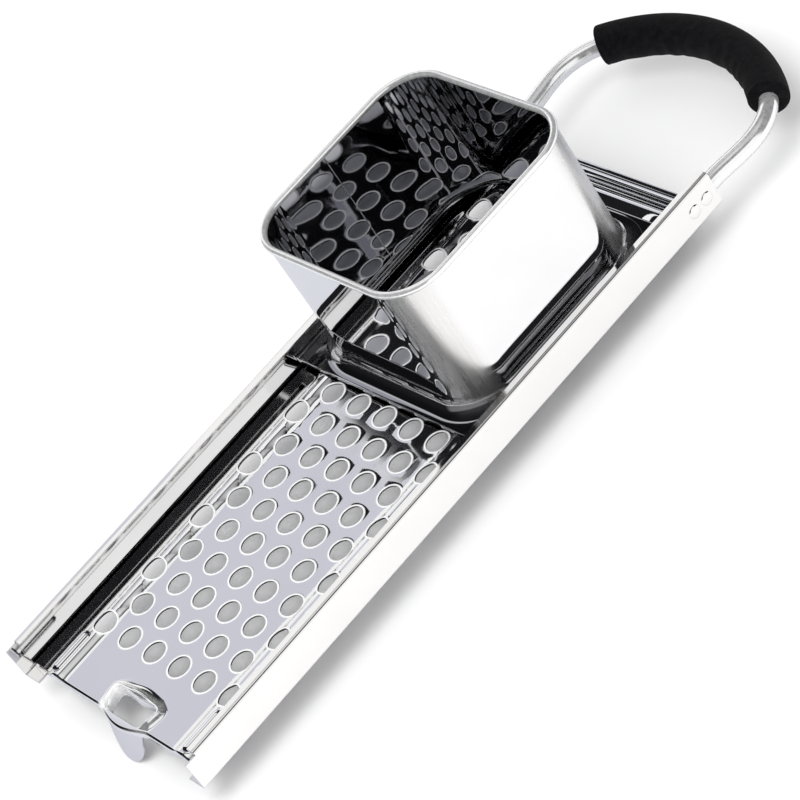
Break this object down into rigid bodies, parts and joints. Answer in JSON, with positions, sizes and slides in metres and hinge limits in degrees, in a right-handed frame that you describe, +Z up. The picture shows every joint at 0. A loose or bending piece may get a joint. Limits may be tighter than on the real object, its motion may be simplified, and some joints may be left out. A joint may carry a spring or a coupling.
{
  "type": "spaetzle maker",
  "caption": "Flat perforated steel plate between two rails with a sliding square hopper, a pot hook in front and a bent bar handle with a foam grip.",
  "frame": {"origin": "on the floor plane below the middle of the whole tool's outline, level with the pot hook's tip", "axes": "+X from the pot hook to the handle, +Y to the left rail seen from the hook, +Z up"},
  "size_m": [0.3297, 0.1076, 0.0776],
  "materials": {
    "plate_steel": "polished stainless sheet",
    "rail_steel": "polished stainless sheet",
    "slide_steel": "polished stainless sheet",
    "hopper_steel": "polished stainless sheet",
    "bar_steel": "polished round bar",
    "foam": "matt closed-cell foam"
  },
  "bodies": {
    "frame": {"grater_plate": "plate_steel", "left_rail": "rail_steel", "right_rail": "rail_steel", "handle_bar": "bar_steel", "foam_grip": "foam", "bar_rivets": "bar_steel"},
    "slide": {"slide_frame": "slide_steel", "hopper": "hopper_steel"}
  },
  "joints": [
    {"name": "hopper_slide", "type": "slide", "parent": "frame", "child": "slide", "axis": [1, 0, 0], "range_m": [-0.12, 0.0045]}
  ]
}
